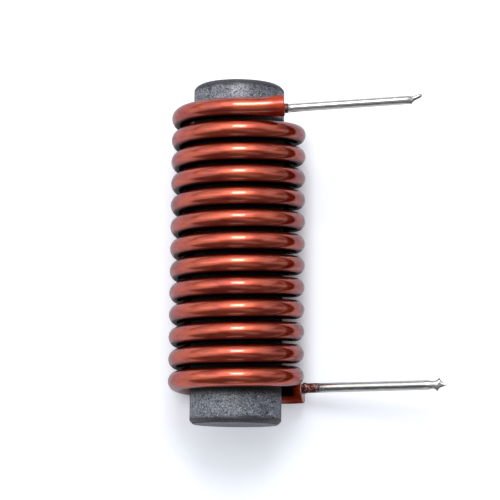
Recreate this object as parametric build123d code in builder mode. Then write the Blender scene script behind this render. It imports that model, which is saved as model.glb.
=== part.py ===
from build123d import *
import os

# Ferrite rod choke: a plain ferrite rod that carries one close layer of thick enamelled copper
# wire, lying on its side. Units are millimetres. The origin is the middle of the rod, on its
# axis. +Y runs along the rod, +X is the side that both leads point to, and +Z is up.

# Ferrite rod
rod_diameter = 8.0
rod_length = 30.0
rod_edge_chamfer = 0.35

# Winding wire: a copper conductor with a film of enamel baked on it
conductor_diameter = 1.8
enamel_wall = 0.05
wire_diameter = conductor_diameter + 2 * enamel_wall

# Winding: one right-handed layer, whose turns all but touch each other and the rod
whole_turns = 12
turn_gap = 0.047
rod_clearance = 0.055
winding_offset = 0.16       # middle of the winding, from the middle of the rod
turn_lean = 0.034           # drop of a turn for each millimetre towards the leads' side
turn_tilt = 0.04            # drop of a turn for each millimetre up
exit_angle = 12.0           # how far past its lowest point the wire hugs the rod, degrees
turn_pitch = wire_diameter + turn_gap
winding_radius = rod_diameter / 2 + rod_clearance + wire_diameter / 2
last_turn = 0.5 + exit_angle / 360      # length of the last turn, as a share of a whole one

# Enamelled stubs, from the last point on the rod to the end of the enamel
upper_stub_length = 3.85
upper_stub_shift = 0.16     # how far the stub bends towards the rod's upper end
upper_stub_slope = 0.09     # its rise along the rod at its end, for each millimetre
lower_stub_length = 5.0
lower_stub_shift = 0.49
lower_stub_slope = 0.14

# Bare end of the conductor, where the enamel stops and the thin lead begins
shoulder_length = 0.08
shoulder_round = 0.07

# Thin tinned leads, drawn down from the conductor. The lower one carries more tin.
upper_lead_diameter = 0.74
lower_lead_diameter = 0.88
upper_lead_offset = 0.27    # from the wire's axis, towards the middle of the winding
lower_lead_offset = 0.4
upper_lead_length = 10.7    # round part, from the shoulder to the pinched tip
lower_lead_length = 11.7
lead_seat = 0.15            # how far the lead's root is drawn inside the conductor
collar_swell = 0.05         # how far the bead of burnt enamel at the root stands out
collar_length = 0.38
upper_lead_slope = 0.0806   # rise along the rod for each millimetre of lead
lower_lead_slope = 0.022

# Pinched tips: how much narrower the tip starts than the lead, and its thickness at the point
tip_start_share = 0.7
tip_overlap = 0.2
tip_point_thickness = 0.12

# Upper tip from above, from the end of the round part: a blade that bends up over a small burr
burr_point = (0.34, -0.36)
burr_back = (0.57, -0.13)
blade_heel = (0.45, 0.29)
blade_top = (1.1, 0.47)
blade_end = (1.32, 0.35)
blade_foot = (1.18, 0.14)

# Lower tip from above: a four-pointed star, with the hollows between its points
star_upper_point = (0.98, 0.66)
star_end_point = (1.75, 0)
star_lower_point = (0.76, -0.63)
star_hollows = ((0.6, 0.36), (1.26, 0.24), (1.15, -0.23), (0.45, -0.35))


def rod_core():
    """The ferrite rod, with its ground edges broken."""
    with BuildPart() as rod:
        with BuildSketch(Plane.XZ):
            Circle(rod_diameter / 2)
        extrude(amount=rod_length / 2, both=True)
        chamfer(rod.edges().filter_by(GeomType.CIRCLE), rod_edge_chamfer)
    return rod.part


def winding_turns():
    """The line of each turn, from over the rod at its upper end to just past its underside."""
    top_end = Plane(
        origin=(0, winding_offset + (whole_turns + 0.5) * turn_pitch / 2, 0),
        x_dir=(0, 0, 1),
        z_dir=(0, -1, 0),
    )
    lean = Matrix([[1, 0, 0, 0], [-turn_lean, 1, -turn_tilt, 0], [0, 0, 1, 0], [0, 0, 0, 1]])
    turn, last = (
        (top_end * Helix(turn_pitch, share * turn_pitch, winding_radius)).transform_geometry(lean)
        for share in (1, last_turn)
    )
    turns = [turn.moved(Location((0, -turn_pitch * i, 0))) for i in range(whole_turns)]
    return turns + [last.moved(Location((0, -turn_pitch * whole_turns, 0)))]


def stub_end(start, out, length, shift, slope):
    """Where a stub ends and which way it points there, for a wire that leaves the turns along out."""
    end = start + out * length + Vector(0, shift, 0)
    return end, Vector(out.X, slope * out.X, out.Z).normalized()


def wire_line():
    """The whole line of the enamelled wire, with the stub at each end of the turns."""
    turns = winding_turns()
    first, first_out = turns[0] @ 0, -(turns[0] % 0)
    last, last_out = turns[-1] @ 1, turns[-1] % 1
    upper_end, upper_run = stub_end(
        first, first_out, upper_stub_length, upper_stub_shift, upper_stub_slope
    )
    lower_end, lower_run = stub_end(
        last, last_out, lower_stub_length, lower_stub_shift, lower_stub_slope
    )
    with BuildLine() as line:
        Spline(upper_end, first, tangents=(-upper_run, -first_out))
        add(turns)
        Spline(last, lower_end, tangents=(last_out, lower_run))
    return line.wire()


def lead_plane(start, direction):
    """A plane at a lead's root: its X runs out along the lead and its Y lies along the rod."""
    return Plane(origin=start, x_dir=direction, z_dir=direction.cross(Vector(0, 1, 0)))


def shoulder(plane):
    """The bare end of the conductor, a thin disc with a rounded edge."""
    radius = conductor_diameter / 2
    with BuildPart() as disc:
        with BuildSketch(plane):
            with BuildLine():
                Polyline(
                    (shoulder_length, 0),
                    (0, 0),
                    (0, radius),
                    (shoulder_length - shoulder_round, radius),
                )
                RadiusArc(
                    (shoulder_length - shoulder_round, radius),
                    (shoulder_length, radius - shoulder_round),
                    shoulder_round,
                )
                Line((shoulder_length, radius - shoulder_round), (shoulder_length, 0))
            make_face()
        revolve(axis=Axis(plane.origin, plane.x_dir))
    return disc.part


def round_lead(plane, diameter, length):
    """The round part of a thin lead, with the bead of burnt enamel at its root."""
    radius = diameter / 2
    with BuildPart() as lead:
        with BuildSketch(plane):
            with BuildLine():
                Polyline((-lead_seat, radius), (-lead_seat, 0), (length, 0), (length, radius),
                         (collar_length, radius))
                ThreePointArc(
                    (collar_length, radius),
                    ((collar_length - lead_seat) / 2, radius + collar_swell),
                    (-lead_seat, radius),
                )
            make_face()
        revolve(axis=Axis(plane.origin, plane.x_dir))
    return lead.part


def upper_tip_outline(root):
    """The upper tip from above, whose root is this far to each side of the lead's axis."""
    with BuildSketch() as outline:
        with BuildLine():
            Polyline(burr_back, burr_point, (0, -root), (-tip_overlap, -root),
                     (-tip_overlap, root), (0, root), blade_heel, blade_top)
            ThreePointArc(blade_top, blade_end, blade_foot)
            Line(blade_foot, burr_back)
        make_face()
    return outline.sketch


def lower_tip_outline(root):
    """The lower tip from above, whose root is this far to each side of the lead's axis."""
    points = [(0, root), star_upper_point, star_end_point, star_lower_point, (0, -root)]
    with BuildSketch() as outline:
        with BuildLine():
            Polyline((0, -root), (-tip_overlap, -root), (-tip_overlap, root), (0, root))
            for start, hollow, end in zip(points, star_hollows, points[1:]):
                ThreePointArc(start, hollow, end)
        make_face()
    return outline.sketch


def pinched_tip(plane, diameter, tip_outline):
    """A tip that cutters have squeezed flat: its outline from above, cut to a wedge in side view."""
    root = tip_start_share * diameter / 2
    outline = tip_outline(root)
    reach = outline.bounding_box().max.X
    with BuildPart() as tip:
        with BuildSketch(plane):
            add(outline)
        extrude(amount=diameter, both=True)
        with BuildSketch(Plane(origin=plane.origin, x_dir=plane.x_dir, z_dir=-plane.y_dir)):
            with BuildLine():
                Polyline(
                    (-tip_overlap, -root),
                    (-tip_overlap, root),
                    (reach, tip_point_thickness / 2),
                    (reach, -tip_point_thickness / 2),
                    close=True,
                )
            make_face()
        extrude(amount=2 * diameter, both=True, mode=Mode.INTERSECT)
    return tip.part


def lead_with_tip(start, direction, diameter, length, tip_outline):
    """One thin lead, from the conductor's shoulder to the end of its pinched tip."""
    root = lead_plane(start, direction)
    tip_plane = lead_plane(start + direction * length, direction)
    with BuildPart() as lead:
        add(round_lead(root, diameter, length))
        add(pinched_tip(tip_plane, diameter, tip_outline))
    return lead.part


line = wire_line()
upper_out = -(line % 0)
lower_out = line % 1
upper_root = (line @ 0) + upper_out * shoulder_length - Vector(0, upper_lead_offset, 0)
lower_root = (line @ 1) + lower_out * shoulder_length + Vector(0, lower_lead_offset, 0)
upper_direction = Vector(upper_out.X, upper_lead_slope * upper_out.X, upper_out.Z).normalized()
lower_direction = Vector(lower_out.X, lower_lead_slope * lower_out.X, lower_out.Z).normalized()

with BuildPart() as ferrite_core:
    add(rod_core())

with BuildPart() as copper_wire:
    with BuildSketch(Plane(origin=line @ 0, z_dir=line % 0)):
        Circle(wire_diameter / 2)
    sweep(path=line)
    add(shoulder(lead_plane(line @ 0, upper_out)))
    add(shoulder(lead_plane(line @ 1, lower_out)))
    add(lead_with_tip(upper_root, upper_direction, upper_lead_diameter, upper_lead_length,
                      upper_tip_outline))
    add(lead_with_tip(lower_root, lower_direction, lower_lead_diameter, lower_lead_length,
                      lower_tip_outline))

ferrite_core.part.label = "ferrite_core"
copper_wire.part.label = "copper_wire"

os.makedirs("parts", exist_ok=True)
export_step(ferrite_core.part, "parts/ferrite_core.step")
export_step(copper_wire.part, "parts/copper_wire.step")
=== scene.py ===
"""Dresses a ferrite rod choke: a ground ferrite rod, its enamelled copper winding and tinned leads."""

import math
from itertools import accumulate

import bpy
from mathutils import Matrix, Vector


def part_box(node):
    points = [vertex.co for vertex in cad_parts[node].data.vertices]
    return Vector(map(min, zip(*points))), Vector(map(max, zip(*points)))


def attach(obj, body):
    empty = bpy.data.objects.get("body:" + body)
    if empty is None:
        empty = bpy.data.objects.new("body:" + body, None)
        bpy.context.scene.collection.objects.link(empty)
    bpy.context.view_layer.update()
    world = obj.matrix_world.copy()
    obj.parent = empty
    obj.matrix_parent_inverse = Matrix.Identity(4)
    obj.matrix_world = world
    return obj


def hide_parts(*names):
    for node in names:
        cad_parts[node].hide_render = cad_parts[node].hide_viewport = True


bl_info = {
    "name": "Ferrite rod choke",
    "version": (1, 0, 0),
    "blender": (4, 5, 0),
    "location": "View3D > Sidebar > Choke",
    "description": "Models and finishes a ferrite rod choke around its packed frame",
    "category": "Object",
}

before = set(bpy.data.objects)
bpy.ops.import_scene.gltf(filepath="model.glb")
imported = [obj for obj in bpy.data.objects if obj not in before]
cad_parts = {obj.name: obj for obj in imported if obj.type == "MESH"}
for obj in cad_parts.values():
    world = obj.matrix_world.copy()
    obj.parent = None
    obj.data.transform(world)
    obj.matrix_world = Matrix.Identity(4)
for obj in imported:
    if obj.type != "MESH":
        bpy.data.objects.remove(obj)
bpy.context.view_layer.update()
CORE_LOW, CORE_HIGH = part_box("ferrite_core")
WIRE_LOW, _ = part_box("copper_wire")
BODY = "root"
MM = 0.001

# Edges look round where they bend by less than this: on the rod and the conductor's cut ends, on the
# enamelled wire, and on the leads
CUT_SMOOTHING = math.radians(30)
WIRE_SMOOTHING = math.radians(40)
LEAD_SMOOTHING = math.radians(38)
# How far the painted shade on the rod reaches past the winding's lower end, and stays short of its
# upper one
SHADE_PAST = 1.0 * MM
SHADE_SHORT = 0.2 * MM

# Points along the wire's line: in each turn, in each stub and in the lip at each end
TURN_STEPS = 96
STUB_STEPS = 14
LIP_STEPS = 5
# The enamel's lip past each end: how far it reaches, and its drop as a share of the wire's radius
LIP_REACH = 0.03 * MM
LIP_DROP = 0.04
# How fast a turn strays along the rod, as two waves' shares of its angle
WANDER_WAVES = (1.7, 0.37)

# Where a turn is shaded by the next one, as the height on its flank over the wire's radius: the height
# at which the shade starts and the one at which it is full, on the flank to either end of the rod
UPPER_FLANK = (0.72, 1.0)
LOWER_FLANK = (0.56, 0.86)
# How far before and past its neighbour's end a turn's shade fades out, as shares of a turn
FADE_OUTSIDE = 0.16
FADE_INSIDE = 0.05
# Where each stub's dull end starts and where it is full, as points from the lip
DULL_STEPS = (5.5, 2.5)

# Rings of a lead between its bead and its tip, its faces round, and how uneven its tin is
LEAD_RINGS = 30
LEAD_SIDES = 36
TIN_UNEVENNESS = 0.012

# The frame and its focal length in pixels, the camera's place across and along the rod, and its turn
# about its own view and about the line across it, in radians
SENSOR_WIDTH = 36.0
FRAME_PIXELS = 500.0
FOCAL_PIXELS = 2060.2
CAMERA_ACROSS = 1.112 * MM
CAMERA_ALONG = -24.934 * MM
CAMERA_ROLL = -0.0114
CAMERA_PITCH = -0.1399
# Each soft box: the setting that gives its brightness and the share of it that is used, where the box
# hangs, across and along the rod from straight overhead, its half angles across and along, both in
# degrees, and how far off it hangs
SOFT_BOXES = {
    "hot_light": ("hot_strength", 1.0, (1, 29), (10, 11), 0.45),
    "key_light": ("key_strength", 1.0, (-2, 30), (27, 23), 0.50),
    "sky_light": ("sky_strength", 1.0, (-3, 42), (62, 36), 0.55),
    "overhead_light": ("overhead_strength", 1.0, (-6, -7), (55, 14), 0.60),
    "left_light": ("side_strength", 1.0, (-72, 0), (20, 42), 0.50),
    "right_light": ("side_strength", 0.6, (74, 8), (12, 30), 0.50),
    "front_light": ("front_strength", 1.0, (2, -72), (9, 6), 0.45),
}
FLOOR_SIZE = 1.2
FLOOR_GLOW = (0.40, 0.42, 0.45)
ROOM_COLOUR = (0.93, 0.96, 1.0)
WHITE = (1.0, 1.0, 1.0)
BLACK = (0.0, 0.0, 0.0)
# The dark card beside the choke: its corners across and along the rod, and its height on the floor
CARD_COLOUR = (0.01, 0.01, 0.012)
CARD_LOW = (24.0 * MM, -60.0 * MM)
CARD_HIGH = (150.0 * MM, 75.0 * MM)
CARD_HEIGHT = 0.1 * MM


def length_setting(name, description, default, least=0.0):
    """A length, written in millimetres and kept in metres."""
    return bpy.props.FloatProperty(
        name=name,
        description=description,
        default=default * MM,
        min=least * MM,
        precision=5,
        unit="LENGTH",
    )


def share_setting(name, description, default):
    """A slope or another share."""
    return bpy.props.FloatProperty(name=name, description=description, default=default)


def colour_setting(name, description, default):
    """A colour."""
    return bpy.props.FloatVectorProperty(
        name=name,
        description=description,
        default=default,
        subtype="COLOR",
        min=0.0,
        max=1.0,
    )


def brightness_setting(name, lamp, default):
    """The brightness of a lamp, at 1 as bright as a white card in full light."""
    return bpy.props.FloatProperty(
        name=name,
        description=f"Brightness of the {lamp}, where 1 is white",
        default=default,
        min=0.0,
    )


class RodSettings(bpy.types.PropertyGroup):
    """Sizes and colours of the ferrite rod."""

    chamfer: length_setting("Edge chamfer", "Width of the broken edge at each end of the rod", 0.35)
    segments: bpy.props.IntProperty(
        name="Segments",
        description="Faces round the rod",
        default=160,
        min=24,
        max=512,
    )
    body_colour: colour_setting(
        "Ferrite", "Colour of the ground ferrite between its grains", (0.046, 0.066, 0.106)
    )
    grain_colour: colour_setting(
        "Grain", "Colour of the brightest grains in the ferrite", (0.66, 0.72, 0.84)
    )
    # The end faces' two colours are their pressed finish made paler as painted light, for the light
    # they catch from below
    pressed_lit_dark: colour_setting(
        "Pressed face, dark", "Colour of the darker patches of the end faces", (0.190, 0.206, 0.236)
    )
    pressed_lit_pale: colour_setting(
        "Pressed face, pale", "Colour of the paler patches of the end faces", (0.290, 0.306, 0.336)
    )


class WindingSettings(bpy.types.PropertyGroup):
    """Sizes and colours of the enamelled winding."""

    wire_diameter: length_setting(
        "Wire diameter", "Diameter of the copper wire over its enamel", 1.7, least=0.1
    )
    pitch: length_setting(
        "Pitch", "Distance from one turn to the next, along the rod", 1.947, least=0.1
    )
    whole_turns: bpy.props.IntProperty(
        name="Whole turns",
        description="Full turns of the winding, before the last half turn",
        default=12,
        min=1,
        max=60,
    )
    exit_angle: bpy.props.FloatProperty(
        name="Exit angle",
        description="How far past its lowest point the wire hugs the rod",
        default=math.radians(12.0),
        subtype="ANGLE",
    )
    lean: share_setting(
        "Lean", "Drop of a turn towards the leads' side, as a share of the way across", 0.034
    )
    tilt: share_setting("Tilt", "Drop of a turn towards its top, as a share of its height", 0.04)
    offset: length_setting(
        "Offset", "Middle of the winding, from the middle of the rod", 0.21, least=-15.0
    )
    upper_stub: length_setting("Upper stub", "Enamelled length from the rod to the upper lead", 3.85)
    upper_shift: length_setting(
        "Upper stub's bend", "How far the upper stub bends to the rod's upper end", 0.11, least=-5.0
    )
    upper_slope: share_setting(
        "Upper stub's slope", "Rise along the rod at the upper stub's end, as a share of its run", 0.09
    )
    lower_stub: length_setting("Lower stub", "Enamelled length from the rod to the lower lead", 5.0)
    lower_shift: length_setting(
        "Lower stub's bend", "How far the lower stub bends back towards the winding", 0.54, least=-5.0
    )
    lower_slope: share_setting(
        "Lower stub's slope", "Rise along the rod at the lower stub's end, as a share of its run", 0.14
    )
    swell_length: length_setting(
        "Swelling", "Last stretch of each stub, over which the wire thickens", 1.8, least=0.01
    )
    end_swell: length_setting("Swollen end", "How much the wire's radius has grown at its cut end", 0.1)
    wander: length_setting("Wander", "How far a turn strays from its even place along the rod", 0.012)
    copper: colour_setting("Copper", "Colour of the copper under its enamel", (0.74, 0.100, 0.028))
    deep_red: colour_setting(
        "Thick enamel", "Colour where the enamel has run thicker", (0.44, 0.032, 0.010)
    )
    # Painted shade: the colour where a turn faces the next one
    crevice_shade_colour: colour_setting(
        "Crevice", "Colour where a turn faces the next one", (0.014, 0.006, 0.006)
    )


class LeadSettings(bpy.types.PropertyGroup):
    """Sizes and colours of the two tinned leads and of the cut copper at their roots."""

    upper_diameter: length_setting(
        "Upper lead diameter", "Diameter of the upper tinned lead", 0.74, least=0.05
    )
    lower_diameter: length_setting(
        "Lower lead diameter", "Diameter of the lower lead, which carries more tin", 0.88, least=0.05
    )
    conductor: length_setting("Conductor end", "Diameter of the copper at its cut end", 1.8, least=0.05)
    shoulder: length_setting(
        "Shoulder", "How far the bare conductor stands out of its enamel", 0.08, least=0.01
    )
    shoulder_round: length_setting("Shoulder's edge", "Rounding of the conductor's cut edge", 0.06)
    upper_offset: length_setting(
        "Upper lead offset", "How far the upper lead lies off its wire's axis, to the winding", 0.27
    )
    lower_offset: length_setting(
        "Lower lead offset", "How far the lower lead lies off its wire's axis, to the winding", 0.38
    )
    upper_length: length_setting("Upper length", "Round length of the upper lead", 10.7, least=1.0)
    lower_length: length_setting("Lower length", "Round length of the lower lead", 11.25, least=1.0)
    upper_slope: share_setting(
        "Upper slope", "Rise of the upper lead along the rod, as a share of its run", 0.0806
    )
    lower_slope: share_setting(
        "Lower slope", "Rise of the lower lead along the rod, as a share of its run", 0.022
    )
    tin: colour_setting("Tin", "Colour of the tinned leads", (0.74, 0.73, 0.71))
    burnt: colour_setting(
        "Burnt enamel", "Colour of the enamel left at the root of a lead", (0.100, 0.020, 0.015)
    )
    bare_copper: colour_setting(
        "Bare copper", "Colour of the conductor where it is cut", (0.62, 0.33, 0.27)
    )


class StageSettings(bpy.types.PropertyGroup):
    """Light, floor and camera."""

    hot_strength: brightness_setting("Hot middle", "bright middle of the main light", 8.5)
    key_strength: brightness_setting("Key light", "main soft box", 0.75)
    sky_strength: brightness_setting("Sky light", "wide soft panel behind the main light", 0.65)
    overhead_strength: brightness_setting("Overhead light", "dim panel overhead", 0.3)
    side_strength: brightness_setting("Side light", "panel on the side away from the leads", 0.7)
    front_strength: brightness_setting("Front light", "small low light in front", 0.9)
    room_strength: brightness_setting("Room", "room around", 0.11)
    floor_colour: colour_setting("Floor", "Colour of the pale floor", (0.80, 0.82, 0.87))
    camera_height: length_setting("Camera height", "Height of the camera above the rod's axis", 180.0)


SETTINGS = {
    "choke_rod": RodSettings,
    "choke_winding": WindingSettings,
    "choke_leads": LeadSettings,
    "choke_stage": StageSettings,
}


class Sock:
    """A shader socket that takes part in Python expressions, each of which adds a Math node."""

    def __init__(self, shader, socket):
        self.shader = shader
        self.socket = socket

    def maths(self, operation, *others, swapped=False):
        """A Math node on this value and the others, or on the others and this value."""
        values = (*others, self) if swapped else (self, *others)
        return self.shader.add("ShaderNodeMath", {"operation": operation}, dict(enumerate(values)))[0]

    def __add__(self, other):
        return self.maths("ADD", other)

    def __radd__(self, other):
        return self.maths("ADD", other, swapped=True)

    def __sub__(self, other):
        return self.maths("SUBTRACT", other)

    def __rsub__(self, other):
        return self.maths("SUBTRACT", other, swapped=True)

    def __mul__(self, other):
        return self.maths("MULTIPLY", other)

    def __rmul__(self, other):
        return self.maths("MULTIPLY", other, swapped=True)

    def unsigned(self):
        """The value without its sign."""
        return self.maths("ABSOLUTE")

    def smooth(self, low, high):
        """Rises smoothly from 0 to 1 as the value goes from low to high."""
        settings = {"interpolation_type": "SMOOTHSTEP"}
        inputs = {"Value": self, "From Min": low, "From Max": high}
        return self.shader.add("ShaderNodeMapRange", settings, inputs)["Result"]

    def remap(self, low, high, new_low, new_high):
        """Carries the range from low to high over to another range."""
        inputs = {
            "Value": self,
            "From Min": low,
            "From Max": high,
            "To Min": new_low,
            "To Max": new_high,
        }
        return self.shader.add("ShaderNodeMapRange", {}, inputs)["Result"]


class Outputs:
    """A node's outputs, read by name or by number."""

    def __init__(self, shader, node):
        self.shader = shader
        self.node = node

    def __getitem__(self, key):
        return Sock(self.shader, self.node.outputs[key])


class Shader:
    """The node tree of a material or of the world, built one call for each node."""

    def __init__(self, owner):
        owner.use_nodes = True
        self.owner = owner
        self.tree = owner.node_tree
        self.tree.nodes.clear()

    def add(self, kind, settings=None, inputs=None):
        """Adds a node, applies its settings first, and then fills or links its sockets."""
        node = self.tree.nodes.new(kind)
        for name, value in (settings or {}).items():
            setattr(node, name, value)
        for name, value in (inputs or {}).items():
            if isinstance(value, Sock):
                self.tree.links.new(value.socket, node.inputs[name])
            elif isinstance(value, tuple):
                wanted = len(node.inputs[name].default_value)
                node.inputs[name].default_value = (*value, 1.0)[:wanted]
            else:
                node.inputs[name].default_value = value
        return Outputs(self, node)

    def coordinates(self):
        """A place on the choke, from its origin."""
        return self.add("ShaderNodeTexCoord")["Object"]

    def attribute(self, name):
        """What the mesh stores under this name."""
        return self.add("ShaderNodeAttribute", {"attribute_name": name})["Vector"]

    def scaled(self, vector, scale):
        """The vector with each of its parts scaled on its own."""
        inputs = {0: vector, 1: scale}
        return self.add("ShaderNodeVectorMath", {"operation": "MULTIPLY"}, inputs)["Vector"]

    def split(self, vector):
        """The vector's three parts."""
        parts = self.add("ShaderNodeSeparateXYZ", {}, {0: vector})
        return parts[0], parts[1], parts[2]

    def noise(self, vector, scale, detail=2.0, roughness=0.5, distortion=0.0):
        """Soft random values from 0 to 1. A larger scale makes finer ones."""
        inputs = {
            "Vector": vector,
            "Scale": scale,
            "Detail": detail,
            "Roughness": roughness,
            "Distortion": distortion,
        }
        return self.add("ShaderNodeTexNoise", {}, inputs)["Fac"]

    def mix(self, factor, first, second):
        """The first colour where the factor is 0 and the second where it is 1."""
        inputs = {0: factor, 6: first, 7: second}
        return self.add("ShaderNodeMix", {"data_type": "RGBA"}, inputs)[2]

    def bump(self, height, strength, distance):
        """A normal that follows the height."""
        inputs = {"Height": height, "Strength": strength, "Distance": distance}
        return self.add("ShaderNodeBump", {}, inputs)["Normal"]

    def surface(self, inputs):
        """Ends a material with a Principled surface, and gives the material."""
        principled = self.add("ShaderNodeBsdfPrincipled", {}, inputs)["BSDF"]
        self.add("ShaderNodeOutputMaterial", {}, {"Surface": principled})
        return self.owner


def new_shader(name):
    """The empty node tree of a new material."""
    return Shader(bpy.data.materials.new(name))


def times(share, colour):
    """A colour made darker or lighter by this share."""
    return tuple(share * part for part in colour)


def ferrite_material(sizes, shaded_span, ends):
    """Ground sintered ferrite: dark bluish grey, with bright grains and short marks round the rod.

    It is painted dark and made dull under the winding, between the two given places on the rod: a
    painted shade in the gaps between turns and, past the winding's lower end, a painted shadow of the
    last turn. It is paler on its two pressed end faces, which lie this far from its middle, and that
    paleness is partly painted light.
    """
    shader = new_shader("ground_ferrite")
    place = shader.coordinates()
    _, along, _ = shader.split(place)
    cloud = shader.noise(place, 650.0, 3.0, 0.6)
    grain = shader.noise(place, 6500.0, 2.0, 0.7)
    marks = shader.noise(shader.scaled(place, (1.0, 1.9, 1.0)), 2500.0, 2.0, 0.6, 1.8)
    body = tuple(sizes.body_colour)

    # grains, in paler and darker clouds
    tone = shader.mix(grain.smooth(0.40, 0.58), times(0.25, body), times(1.7, body))
    tone = shader.mix(cloud.smooth(0.4, 0.65) * 0.4, tone, times(2.1, body))

    # bright marks, and pits between them
    ridge = 1.0 - (marks - 0.5).unsigned().smooth(0.0, 0.06)
    glitter = ridge * grain.smooth(0.34, 0.52) * cloud.smooth(0.32, 0.50)
    tone = shader.mix(glitter, tone, tuple(sizes.grain_colour))
    pits = 1.0 - marks.smooth(0.37, 0.46)
    tone = shader.mix(pits * 0.9, tone, times(0.12, body))

    # painted shade under the winding, reaching past its lower end as the painted shadow of the last
    # turn
    first, last = shaded_span
    painted_shade = along.smooth(first, first + 0.9 * MM) - along.smooth(last - 0.4 * MM, last)
    unshaded = 1.0 - painted_shade
    tone = shader.mix(painted_shade * 0.95, tone, times(0.045, body))

    # darker band along each rim, and pressed end faces made paler, partly as painted light from below
    from_middle = along.unsigned()
    edge = ends - sizes.chamfer
    # a darker band along each rim, by the chamfer, which also takes sheen away
    rim_band = (from_middle + (cloud - 0.5) * 0.8 * MM).smooth(edge - 0.36 * MM, edge - 0.1 * MM)
    tone = shader.mix(rim_band * grain.smooth(0.2, 0.4) * 0.9, tone, times(0.2, body))
    face = from_middle.smooth(ends - 0.04 * MM, ends - 0.01 * MM)
    patches = cloud.smooth(0.35, 0.65)
    # pressed end faces, their paleness partly painted light
    pressed_and_lit = shader.mix(patches, tuple(sizes.pressed_lit_dark), tuple(sizes.pressed_lit_pale))
    tone = shader.mix(face * (1.0 - pits * 0.35), tone, pressed_and_lit)

    # sheen of the bare grains
    sheen = (grain.smooth(0.30, 0.62) + ridge * 0.3) * (1.0 - pits * 0.75) * (1.0 - rim_band * 0.8) * unshaded
    height = ridge * 0.35 + marks + grain * 0.5
    return shader.surface({
        "Base Color": tone,
        "Metallic": glitter * unshaded * 0.6,
        "Roughness": grain.remap(0.3, 0.7, 0.56, 0.42) + painted_shade * 0.3 - glitter * 0.12,
        "IOR": 1.6,
        "Coat Weight": sheen * 0.62 + unshaded * 0.1,
        "Coat Roughness": 0.40,
        "Coat IOR": 2.7,
        "Normal": shader.bump(height, 1.0, 0.07 * MM),
    })


def enamel_material(sizes):
    """Bright drawn copper under a clear red film, with painted shade where turns face turns, and dull
    at its ends.

    The noises read the wire as if it were laid out straight, so its runs and drawing lines follow it.
    """
    shader = new_shader("enamelled_copper")
    straight = shader.attribute("straight")
    crevice_shade, dulled, _ = shader.split(shader.attribute("shade"))
    runs = shader.noise(shader.scaled(straight, (380.0, 1100.0, 1100.0)), 1.0, 3.0, 0.6)
    ripple = shader.noise(shader.scaled(straight, (700.0, 1500.0, 1500.0)), 1.0, 2.0, 0.55)
    drawn = shader.noise(shader.scaled(straight, (900.0, 14000.0, 14000.0)), 1.0, 2.0, 0.6)
    speck = shader.noise(shader.scaled(straight, (6000.0, 6000.0, 6000.0)), 1.0, 2.0, 0.6)

    thick = runs.smooth(0.35, 0.70)
    deep_red = tuple(sizes.deep_red)
    tone = shader.mix(thick, tuple(sizes.copper), deep_red)
    tone = shader.mix(speck.smooth(0.62, 0.8) * 0.35, tone, deep_red)
    tone = shader.mix(dulled * 0.35, tone, deep_red)
    # painted shade where a turn faces the next one, and on the lower stub in the lee of the last turn
    tone = shader.mix(crevice_shade * 0.98, tone, tuple(sizes.crevice_shade_colour))

    height = ripple + drawn * 0.12
    return shader.surface({
        "Base Color": tone,
        "Metallic": 1.0,
        "Roughness": drawn.remap(0.3, 0.7, 0.27, 0.40) + crevice_shade * 0.2 + dulled * 0.25 + thick * 0.03,
        "Coat Weight": 1.0 - crevice_shade * 0.75 - dulled * 0.6 - thick * 0.1,
        "Coat Roughness": 0.10,
        "Coat IOR": 1.78,
        "Specular Tint": (0.03, 0.03, 0.08),
        "Normal": shader.bump(height, 0.35, 0.05 * MM),
    })


def bare_copper_material(leads):
    """The cut end of the conductor, stained dark with burnt enamel."""
    shader = new_shader("stripped_copper")
    place = shader.coordinates()
    soot = shader.noise(place, 3500.0, 3.0, 0.6)
    tone = shader.mix(soot.smooth(0.45, 0.7), tuple(leads.bare_copper), tuple(leads.burnt))
    return shader.surface({
        "Base Color": tone,
        "Metallic": 0.7,
        "Roughness": soot.remap(0.3, 0.7, 0.25, 0.5),
        "Coat Weight": 0.6,
        "Coat Roughness": 0.1,
        "Normal": shader.bump(soot, 0.5, 0.04 * MM),
    })


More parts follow.
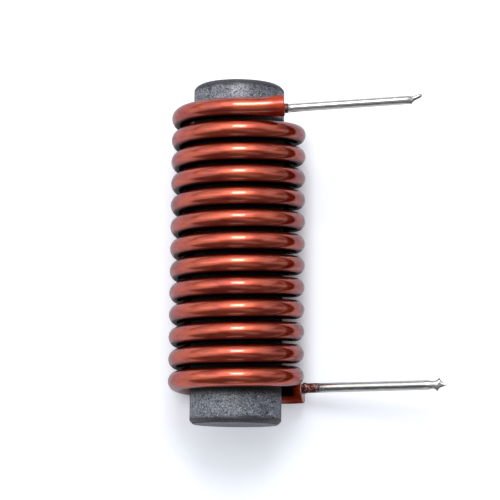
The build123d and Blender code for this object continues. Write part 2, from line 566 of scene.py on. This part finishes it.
def tin_material(leads, upper_root, lower_root):
    """Hot-tinned copper, with burnt enamel at the two roots, where each lead leaves its wire."""
    shader = new_shader("tinned_lead")
    tin, char = tuple(leads.tin), tuple(leads.burnt)
    place = shader.coordinates()
    across, along, _ = shader.split(place)
    upper = along.smooth(-1.0 * MM, 1.0 * MM)
    lower = 1.0 - upper
    lumps = shader.noise(shader.scaled(place, (420.0, 1400.0, 1400.0)), 1.0, 2.0, 0.5)
    streak = shader.noise(shader.scaled(place, (900.0, 9000.0, 9000.0)), 1.0, 3.0, 0.6)
    mottle = shader.noise(shader.scaled(place, (1.3, 1.0, 1.0)), 3600.0, 3.0, 0.65)

    # burnt enamel: a collar round the upper root, and a ragged scorch with smoke round the lower one
    from_upper = across - upper_root.x
    from_lower = across - lower_root.x
    collar = (1.0 - from_upper.smooth(0.30 * MM, 0.40 * MM)) * upper
    scorch = (1.0 - (from_lower + (mottle - 0.5) * 2.4 * MM).smooth(0.9 * MM, 1.9 * MM)) * lower
    smoke = (1.0 - from_lower.smooth(1.0 * MM, 3.4 * MM)) * lower * mottle.smooth(0.45, 0.6)
    burnt = collar + scorch

    # tin with drawing streaks, and the char over it with specks of tin showing through
    tone = shader.mix(streak.smooth(0.3, 0.75), times(0.82, tin), tin)
    tone = shader.mix(smoke * 0.6, tone, times(0.3, tin))
    dark = shader.mix(mottle.smooth(0.45, 0.58), times(0.3, char), times(3.0, char))
    dark = shader.mix(mottle.smooth(0.56, 0.63) * 0.5 * lower, dark, times(0.9, tin))
    tone = shader.mix(burnt, tone, dark)
    return shader.surface({
        "Base Color": tone,
        "Metallic": 1.0 - burnt * 0.7,
        "Roughness": streak.remap(0.3, 0.7, 0.13, 0.26) + burnt * 0.12,
        "Normal": shader.bump(lumps * 0.7 + streak * 0.15 + mottle * burnt, 0.3, 0.05 * MM),
    })


def select_nothing():
    """Leaves edit mode and clears the selection."""
    if bpy.context.object and bpy.context.object.mode != "OBJECT":
        bpy.ops.object.mode_set(mode="OBJECT")
    bpy.ops.object.select_all(action="DESELECT")


def settle(piece, name, node, material):
    """Names a finished piece, puts its place in its mesh, and seats it on the frame."""
    piece.name = name
    piece.data.name = name
    select_nothing()
    piece.select_set(True)
    bpy.context.view_layer.objects.active = piece
    bpy.ops.object.transform_apply(location=True, rotation=True, scale=True)
    piece.data.materials.clear()
    piece.data.materials.append(material)
    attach(piece, BODY)
    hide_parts(node)


def winding_radius(sizes):
    """Radius of the wire's own line, from the frame's lowest point, which is under a turn."""
    return -WIRE_LOW.z - sizes.wire_diameter / 2


def helix_point(sizes, angle, inset=0.0):
    """A point of the turns' line. The angle starts over the rod and grows as the wire is wound."""
    radius = winding_radius(sizes) - inset
    start = sizes.offset + (sizes.whole_turns + 0.5) * sizes.pitch / 2
    across, height = -radius * math.sin(angle), radius * math.cos(angle)
    quick, slow = WANDER_WAVES
    stray = sizes.wander * math.sin(quick * angle) * math.sin(slow * angle + 1.0)
    along = start - sizes.pitch * angle / math.tau - sizes.lean * across - sizes.tilt * height
    return Vector((across, along + stray, height))


def helix_direction(sizes, angle):
    """Direction of the turns' line, as the wire is wound."""
    radius = winding_radius(sizes)
    across, climb = -radius * math.cos(angle), -radius * math.sin(angle)
    along = -sizes.pitch / math.tau - sizes.lean * across - sizes.tilt * climb
    return Vector((across, along, climb)).normalized()


def stub_end(start, out, length, shift, slope):
    """Where a stub ends and which way it points there, for a wire that leaves the turns along out."""
    end = start + out * length + Vector((0, shift, 0))
    return end, Vector((out.x, slope * out.x, out.z)).normalized()


def last_angle(sizes):
    """The angle at which the wire leaves the rod."""
    return math.tau * (sizes.whole_turns + 0.5) + sizes.exit_angle


def wire_ends(sizes):
    """Where the enamel ends and which way the wire points there, at the upper and the lower end.

    The swollen ends keep to the outer line of the turns, so they lie nearer the rod's axis.
    """
    last = last_angle(sizes)
    upper = stub_end(
        helix_point(sizes, 0.0, sizes.end_swell),
        -helix_direction(sizes, 0.0),
        sizes.upper_stub,
        sizes.upper_shift,
        sizes.upper_slope,
    )
    lower = stub_end(
        helix_point(sizes, last, sizes.end_swell),
        helix_direction(sizes, last),
        sizes.lower_stub,
        sizes.lower_shift,
        sizes.lower_slope,
    )
    return upper, lower


def stub_points(start, out, end, run):
    """A smooth curve that leaves its start, on the turns, along out and meets its end along run."""
    chord = (end - start).length
    points = []
    for i in range(1, STUB_STEPS + 1):
        t = i / STUB_STEPS
        points.append(
            start * (2 * t**3 - 3 * t**2 + 1)
            + out * chord * (t**3 - 2 * t**2 + t)
            + end * (3 * t**2 - 2 * t**3)
            + run * chord * (t**3 - t**2)
        )
    return points


def wire_points(sizes):
    """Points along the whole enamelled wire, from the upper end to the lower one."""
    (upper_end, upper_run), (lower_end, lower_run) = wire_ends(sizes)
    last = last_angle(sizes)
    first = helix_point(sizes, 0.0)
    upper = stub_points(first, -helix_direction(sizes, 0.0), upper_end, upper_run)
    turn_steps = round(last / math.tau * TURN_STEPS)
    turns = [helix_point(sizes, last * i / turn_steps) for i in range(turn_steps + 1)]
    lower = stub_points(turns[-1], helix_direction(sizes, last), lower_end, lower_run)
    return upper[::-1] + turns + lower


def swelling(sizes, points):
    """The wire's radius at each point, as a share of its even radius. Its cut ends are swollen."""
    steps = [(b - a).length for a, b in zip(points, points[1:])]
    along = [0.0, *accumulate(steps)]
    growth = 2 * sizes.end_swell / sizes.wire_diameter
    shares = []
    for place in along:
        from_end = min(place, along[-1] - place)
        shares.append(1.0 + growth * max(0.0, 1.0 - from_end / sizes.swell_length))
    return shares


def with_lips(points, shares):
    """Adds the enamel's rounded lip past each end, as points with shares of the wire's radius."""
    first, second, before, last = points[0], points[1], points[-2], points[-1]
    lip = []
    for i in range(1, LIP_STEPS + 1):
        turn = math.radians(90) * i / LIP_STEPS
        lip.append((LIP_REACH * math.sin(turn), shares[0] * (1.0 - LIP_DROP * (1.0 - math.cos(turn)))))
    head = [(first + (first - second).normalized() * far, share) for far, share in reversed(lip)]
    tail = [(last + (last - before).normalized() * far, share) for far, share in lip]
    return head + list(zip(points, shares)) + tail


def mark_straight(wire, points, radius):
    """Stores each vertex's place on the wire as if the wire were laid out straight."""
    ring = len(wire.data.vertices) // len(points)
    attribute = wire.data.attributes.new("straight", "FLOAT_VECTOR", "POINT")
    along = 0.0
    values = []
    for i, point in enumerate(points):
        if i:
            along += (point - points[i - 1]).length
        for j in range(ring):
            turn = math.tau * j / ring
            values += [along, radius * math.cos(turn), radius * math.sin(turn)]
    attribute.data.foreach_set("vector", values)


def rise(value, low, high):
    """Rises smoothly from 0 to 1 as the value goes from low to high."""
    share = min(1.0, max(0.0, (value - low) / (high - low)))
    return share * share * (3 - 2 * share)


def stub_shade(height, share):
    """How dark the lower stub is in the lee of the last turn, at this share of its length.

    The height is that on its flank over the wire's radius. All but a strip of the stub is dark, and
    only its cut end comes out into the light.
    """
    if not 0.0 < share <= 1.0:
        return 0.0
    limit = -0.5 + 1.6 * rise(share, 0.86, 0.98)
    return max(0.3 * rise(share, 0.0, 0.3), rise(height, limit, limit + 0.2))


def mark_shade(wire, points, radius):
    """Stores each vertex's painted shade in the gap to the next turn or in the lee of the last turn,
    and how near it is to an end.
    """
    vertices = wire.data.vertices
    ring = len(vertices) // len(points)
    attribute = wire.data.attributes.new("shade", "FLOAT_VECTOR", "POINT")
    values = []
    first = LIP_STEPS + STUB_STEPS
    last = len(points) - 1 - first
    for i, point in enumerate(points):
        has_above = rise((i - first) / TURN_STEPS - 1.0, -FADE_OUTSIDE, FADE_INSIDE)
        has_below = 1.0 - rise((i - last) / TURN_STEPS + 1.0, -FADE_INSIDE, FADE_OUTSIDE)
        has_below *= min(1.0, i / first)
        from_lip = min(i, len(points) - 1 - i) - LIP_STEPS
        dulled = 1.0 - rise(from_lip, DULL_STEPS[1], DULL_STEPS[0])
        for j in range(ring):
            height = (vertices[i * ring + j].co.y - point.y) / radius
            upper = rise(height, *UPPER_FLANK) * has_above
            lower = rise(-height, *LOWER_FLANK) * has_below
            values += [max(upper, lower, stub_shade(height, (i - last) / STUB_STEPS)), dulled, 0.0]
    attribute.data.foreach_set("vector", values)


class CHOKE_OT_rod(bpy.types.Operator):
    """Models the ground ferrite rod with its broken edges"""

    bl_idname = "choke.rod"
    bl_label = "Ferrite rod"

    def execute(self, context):
        sizes = context.scene.choke_rod
        select_nothing()
        radius = (CORE_HIGH.x - CORE_LOW.x) / 2
        length = CORE_HIGH.y - CORE_LOW.y
        bpy.ops.mesh.primitive_cylinder_add(
            vertices=sizes.segments,
            radius=radius,
            depth=length,
            location=(CORE_LOW + CORE_HIGH) / 2,
            rotation=(math.radians(90), 0, 0),
        )
        rod = context.object
        bpy.ops.object.transform_apply(location=True, rotation=True, scale=True)
        bpy.ops.object.mode_set(mode="EDIT")
        bpy.ops.mesh.select_all(action="DESELECT")
        bpy.ops.object.mode_set(mode="OBJECT")
        for edge in rod.data.edges:
            ends = [rod.data.vertices[i].co.y for i in edge.vertices]
            edge.select = abs(ends[0] - ends[1]) < 0.1 * MM
        bpy.ops.object.mode_set(mode="EDIT")
        bpy.ops.mesh.select_mode(type="EDGE")
        bpy.ops.mesh.bevel(offset=sizes.chamfer, segments=3, profile=0.35, affect="EDGES")
        bpy.ops.object.mode_set(mode="OBJECT")
        bpy.ops.object.shade_smooth_by_angle(angle=CUT_SMOOTHING)
        winding = context.scene.choke_winding
        # Span of the rod's painted shade under the winding, past its lower end as the painted shadow of
        # the last turn
        reach = (winding.whole_turns + 0.5) * winding.pitch / 2
        shaded_span = (winding.offset - reach - SHADE_PAST, winding.offset + reach - SHADE_SHORT)
        material = ferrite_material(sizes, shaded_span, length / 2)
        settle(rod, "ferrite_rod", "ferrite_core", material)
        return {"FINISHED"}


class CHOKE_OT_winding(bpy.types.Operator):
    """Winds the enamelled copper wire round the rod"""

    bl_idname = "choke.winding"
    bl_label = "Enamelled winding"

    def execute(self, context):
        sizes = context.scene.choke_winding
        select_nothing()
        bpy.ops.curve.primitive_nurbs_path_add(location=(0, 0, 0))
        curve = context.object.data
        curve.splines.clear()
        line = wire_points(sizes)
        points = with_lips(line, swelling(sizes, line))
        spline = curve.splines.new("POLY")
        spline.points.add(len(points) - 1)
        for target, (point, share) in zip(spline.points, points):
            target.co = (*point, 1.0)
            target.radius = share
        curve.dimensions = "3D"
        curve.twist_mode = "MINIMUM"
        curve.bevel_depth = sizes.wire_diameter / 2
        curve.bevel_resolution = 12
        bpy.ops.object.convert(target="MESH")
        wire = context.object
        centres = [point for point, _ in points]
        mark_straight(wire, centres, sizes.wire_diameter / 2)
        mark_shade(wire, centres, sizes.wire_diameter / 2)
        bpy.ops.object.mode_set(mode="EDIT")
        bpy.ops.mesh.select_all(action="SELECT")
        bpy.ops.mesh.fill_holes(sides=0)
        bpy.ops.mesh.select_all(action="SELECT")
        bpy.ops.mesh.normals_make_consistent(inside=False)
        bpy.ops.object.mode_set(mode="OBJECT")
        bpy.ops.object.shade_smooth_by_angle(angle=WIRE_SMOOTHING)
        settle(wire, "enamelled_winding", "copper_wire", enamel_material(sizes))
        return {"FINISHED"}


class CHOKE_OT_shoulders(bpy.types.Operator):
    """Models the cut end of the conductor inside each end of the enamel"""

    bl_idname = "choke.shoulders"
    bl_label = "Conductor ends"

    def execute(self, context):
        winding = context.scene.choke_winding
        leads = context.scene.choke_leads
        material = bare_copper_material(leads)
        for name, (end, out) in zip(("upper_shoulder", "lower_shoulder"), wire_ends(winding)):
            select_nothing()
            bpy.ops.mesh.primitive_cylinder_add(
                vertices=64,
                radius=leads.conductor / 2,
                depth=2 * leads.shoulder,
                location=end,
                rotation=out.to_track_quat("Z", "Y").to_euler(),
            )
            disc = context.object
            bpy.ops.object.transform_apply(location=True, rotation=True, scale=True)
            bevel = disc.modifiers.new("rounded edge", "BEVEL")
            bevel.width = leads.shoulder_round
            bevel.segments = 4
            bevel.limit_method = "ANGLE"
            bpy.ops.object.modifier_apply(modifier=bevel.name)
            bpy.ops.object.shade_smooth_by_angle(angle=CUT_SMOOTHING)
            settle(disc, name, "copper_wire", material)
        return {"FINISHED"}


# Each station of a tip, from the end of the round lead, in millimetres: how far along it lies, its
# lower and its upper edge from above, and half its thickness
UPPER_TIP = (
    (0.15, -0.37, 0.36, 0.33),
    (0.30, -0.38, 0.32, 0.28),
    (0.35, -0.37, 0.31, 0.25),
    (0.41, -0.28, 0.30, 0.22),
    (0.57, -0.13, 0.33, 0.19),
    (0.80, -0.02, 0.385, 0.17),
    (1.00, 0.06, 0.445, 0.15),
    (1.10, 0.105, 0.47, 0.13),
    (1.20, 0.17, 0.46, 0.10),
    (1.28, 0.25, 0.42, 0.07),
    (1.32, 0.32, 0.37, 0.03),
)
LOWER_TIP = (
    (0.15, -0.40, 0.40, 0.40),
    (0.30, -0.37, 0.37, 0.36),
    (0.45, -0.36, 0.36, 0.31),
    (0.60, -0.42, 0.37, 0.27),
    (0.70, -0.53, 0.41, 0.24),
    (0.76, -0.63, 0.45, 0.22),
    (0.82, -0.50, 0.49, 0.21),
    (0.91, -0.38, 0.57, 0.20),
    (0.98, -0.31, 0.66, 0.19),
    (1.04, -0.27, 0.49, 0.17),
    (1.15, -0.23, 0.33, 0.15),
    (1.30, -0.18, 0.21, 0.12),
    (1.50, -0.09, 0.10, 0.08),
    (1.75, -0.01, 0.01, 0.03),
)
# The bead of burnt enamel at a lead's root: how far along, and its radius over the lead's
BEAD = ((0.0, 1.0), (0.06, 1.13), (0.13, 1.16), (0.18, 1.10), (0.24, 1.14), (0.32, 1.10), (0.38, 1.0))


def lead_stations(radius, length, tip):
    """Rings of a lead along its run: how far, side shift, half width and half thickness."""
    rings = [(far * MM, 0.0, radius * share, radius * share) for far, share in BEAD]
    start = rings[-1][0]
    for i in range(1, LEAD_RINGS + 1):
        thin = 1.0 - TIN_UNEVENNESS * (1.0 + math.sin(2.3 * i) * math.sin(0.7 * i + length / MM))
        far = start + (length - start) * i / LEAD_RINGS
        rings.append((far, 0.0, radius * thin, radius))
    for far, low, high, half in tip:
        middle, width = (high + low) / 2 * MM, (high - low) / 2 * MM
        rings.append((length + far * MM, middle, width, min(half * MM, radius)))
    return rings


def grow_lead(stations):
    """Grows a lead along +Z from a circle at its root, ring by ring, to the end of its tip."""
    select_nothing()
    far, middle, width, half = stations[0]
    bpy.ops.mesh.primitive_circle_add(
        vertices=LEAD_SIDES, radius=width, fill_type="NGON", location=(0, 0, 0)
    )
    bpy.ops.object.mode_set(mode="EDIT")
    bpy.ops.mesh.select_mode(type="FACE")
    bpy.ops.mesh.select_all(action="SELECT")
    for next_far, next_middle, next_width, next_half in stations[1:]:
        step = (next_middle - middle, 0, next_far - far)
        bpy.ops.mesh.extrude_region_move(TRANSFORM_OT_translate={"value": step})
        bpy.ops.transform.resize(
            value=(next_width / width, next_half / half, 1.0),
            center_override=(next_middle, 0, next_far),
        )
        far, middle, width, half = next_far, next_middle, next_width, next_half
    bpy.ops.mesh.select_all(action="SELECT")
    bpy.ops.mesh.normals_make_consistent(inside=False)
    bpy.ops.object.mode_set(mode="OBJECT")
    bpy.ops.object.shade_smooth_by_angle(angle=LEAD_SMOOTHING)
    return bpy.context.object


class CHOKE_OT_leads(bpy.types.Operator):
    """Draws the two thin tinned leads out of the wire's ends"""

    bl_idname = "choke.leads"
    bl_label = "Tinned leads"

    def execute(self, context):
        leads = context.scene.choke_leads
        ends = wire_ends(context.scene.choke_winding)
        offsets = (-leads.upper_offset, leads.lower_offset)
        roots = [
            end + out * leads.shoulder + Vector((0, offset, 0))
            for (end, out), offset in zip(ends, offsets)
        ]
        plans = {
            "upper_lead": (leads.upper_diameter, leads.upper_length, leads.upper_slope, UPPER_TIP),
            "lower_lead": (leads.lower_diameter, leads.lower_length, leads.lower_slope, LOWER_TIP),
        }
        material = tin_material(leads, *roots)
        for root, (_, out), (name, plan) in zip(roots, ends, plans.items()):
            diameter, length, slope, tip = plan
            direction = Vector((out.x, slope * out.x, out.z)).normalized()
            lead = grow_lead(lead_stations(diameter / 2, length, tip))
            up = direction.cross(Vector((0, 1, 0))).normalized()
            turn = Matrix((up.cross(direction), up, direction)).transposed().to_4x4()
            lead.matrix_world = Matrix.Translation(root) @ turn
            settle(lead, name, "copper_wire", material)
        return {"FINISHED"}


def soft_box(name, strength, place, half_angles, distance):
    """A rectangular soft light of the given brightness, placed and sized by angles in degrees."""
    width, depth = (2 * distance * math.tan(math.radians(half)) for half in half_angles)
    light = bpy.data.lights.new(name, "AREA")
    light.shape = "RECTANGLE"
    light.size = width
    light.size_y = depth
    light.energy = strength * math.pi * width * depth
    lamp = bpy.data.objects.new(name, light)
    bpy.context.scene.collection.objects.link(lamp)
    across, along = (math.tan(math.radians(angle)) for angle in place)
    direction = Vector((across, along, 1.0)).normalized()
    lamp.location = direction * distance
    lamp.rotation_euler = direction.to_track_quat("Z", "Y").to_euler()
    lamp.visible_camera = False


def floor_material(colour):
    """A pale floor that keeps its shadows, and glows a little where only the camera sees it.

    Next to the choke the glow fades, a painted shade, and right under it the floor is painted dark, a
    painted contact shadow where little light comes.
    """
    shader = new_shader("pale_floor")
    seen = shader.add("ShaderNodeLightPath")["Is Camera Ray"]
    across, along, _ = shader.split(shader.coordinates())
    in_length = 1.0 - along.unsigned().smooth(10.6 * MM, 13.6 * MM)
    # painted shade: the camera's glow fades next to the choke
    painted_shade_near = (1.0 - (across - 0.55 * MM).unsigned().smooth(4.6 * MM, 6.9 * MM)) * in_length
    # painted contact shadow right under the choke
    painted_contact_shadow = (1.0 - across.unsigned().smooth(3.2 * MM, 6.0 * MM)) * in_length
    return shader.surface({
        "Base Color": shader.mix(painted_contact_shadow * 0.9, colour, BLACK),
        "Roughness": 1.0,
        "Specular IOR Level": 0.0,
        "Emission Color": shader.mix(seen * (1.0 - painted_shade_near), BLACK, FLOOR_GLOW),
        "Emission Strength": 1.0,
    })


def dark_card():
    """A dark card beside the choke, which only the choke's reflections show."""
    low, high = (Vector((*corner, WIRE_LOW.z + CARD_HEIGHT)) for corner in (CARD_LOW, CARD_HIGH))
    bpy.ops.mesh.primitive_plane_add(size=1.0, location=(low + high) / 2)
    card = bpy.context.object
    card.name = "dark_card"
    card.scale = (high.x - low.x, high.y - low.y, 1.0)
    bpy.ops.object.transform_apply(location=True, rotation=True, scale=True)
    card.data.materials.append(new_shader("dark_card").surface({
        "Base Color": CARD_COLOUR,
        "Roughness": 1.0,
        "Specular IOR Level": 0.0,
    }))
    card.visible_camera = False
    card.visible_diffuse = False
    card.visible_shadow = False


def room(strength):
    """The room around: white where the camera sees it, dim where it lights the choke."""
    world = bpy.data.worlds.new("room")
    bpy.context.scene.world = world
    shader = Shader(world)
    seen = shader.add("ShaderNodeLightPath")["Is Camera Ray"]
    dim = shader.add("ShaderNodeBackground", {}, {"Color": ROOM_COLOUR, "Strength": strength})
    white = shader.add("ShaderNodeBackground", {}, {"Color": WHITE, "Strength": 1.0})
    both = shader.add("ShaderNodeMixShader", {}, {0: seen, 1: dim[0], 2: white[0]})
    shader.add("ShaderNodeOutputWorld", {}, {"Surface": both[0]})


def set_camera(stage):
    """The photograph's view: from above, a little past the rod's lower end."""
    camera = bpy.data.cameras.new("camera")
    camera.sensor_width = SENSOR_WIDTH
    camera.lens = SENSOR_WIDTH * FOCAL_PIXELS / FRAME_PIXELS
    camera.clip_start = 0.001
    camera.clip_end = 10.0
    seat = bpy.data.objects.new("camera", camera)
    bpy.context.scene.collection.objects.link(seat)
    turn = Matrix.Rotation(CAMERA_ROLL, 3, "Z") @ Matrix.Rotation(CAMERA_PITCH, 3, "X")
    place = Matrix.Translation((CAMERA_ACROSS, CAMERA_ALONG, stage.camera_height))
    seat.matrix_world = place @ turn.transposed().to_4x4()
    bpy.context.scene.camera = seat


class CHOKE_OT_stage(bpy.types.Operator):
    """Sets the pale floor, the soft studio light and the camera"""

    bl_idname = "choke.stage"
    bl_label = "Stage"

    def execute(self, context):
        stage = context.scene.choke_stage
        select_nothing()
        bpy.ops.mesh.primitive_plane_add(size=FLOOR_SIZE, location=(0, 0, WIRE_LOW.z))
        floor = context.object
        floor.name = "floor"
        bpy.ops.object.transform_apply(location=True, rotation=True, scale=True)
        floor.data.materials.append(floor_material(tuple(stage.floor_colour)))
        dark_card()
        for name, (setting, share, place, half_angles, distance) in SOFT_BOXES.items():
            soft_box(name, share * getattr(stage, setting), place, half_angles, distance)
        room(stage.room_strength)
        set_camera(stage)
        return {"FINISHED"}


class CHOKE_PT_panel(bpy.types.Panel):
    """Lists the choke's pieces and the stage"""

    bl_idname = "CHOKE_PT_panel"
    bl_label = "Ferrite rod choke"
    bl_space_type = "VIEW_3D"
    bl_region_type = "UI"
    bl_category = "Choke"

    def draw(self, context):
        for operator, group in PANEL_ROWS:
            box = self.layout.box()
            box.operator(operator)
            if group:
                settings = getattr(context.scene, group)
                for name in settings.__annotations__:
                    box.prop(settings, name)


PANEL_ROWS = (
    ("choke.rod", "choke_rod"),
    ("choke.winding", "choke_winding"),
    ("choke.shoulders", None),
    ("choke.leads", "choke_leads"),
    ("choke.stage", "choke_stage"),
)
CLASSES = (
    *SETTINGS.values(),
    CHOKE_OT_rod,
    CHOKE_OT_winding,
    CHOKE_OT_shoulders,
    CHOKE_OT_leads,
    CHOKE_OT_stage,
    CHOKE_PT_panel,
)


def register():
    """Registers the classes and hangs each group of settings on the scene."""
    for cls in CLASSES:
        bpy.utils.register_class(cls)
    for name, group in SETTINGS.items():
        setattr(bpy.types.Scene, name, bpy.props.PointerProperty(type=group))


def unregister():
    """Takes the settings and the classes away again."""
    for name in SETTINGS:
        delattr(bpy.types.Scene, name)
    for cls in reversed(CLASSES):
        bpy.utils.unregister_class(cls)


def main():
    """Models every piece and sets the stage."""
    register()
    bpy.ops.choke.rod()
    bpy.ops.choke.winding()
    bpy.ops.choke.shoulders()
    bpy.ops.choke.leads()
    bpy.ops.choke.stage()
    bpy.context.scene.view_settings.view_transform = "Standard"


if __name__ == "__main__":
    main()
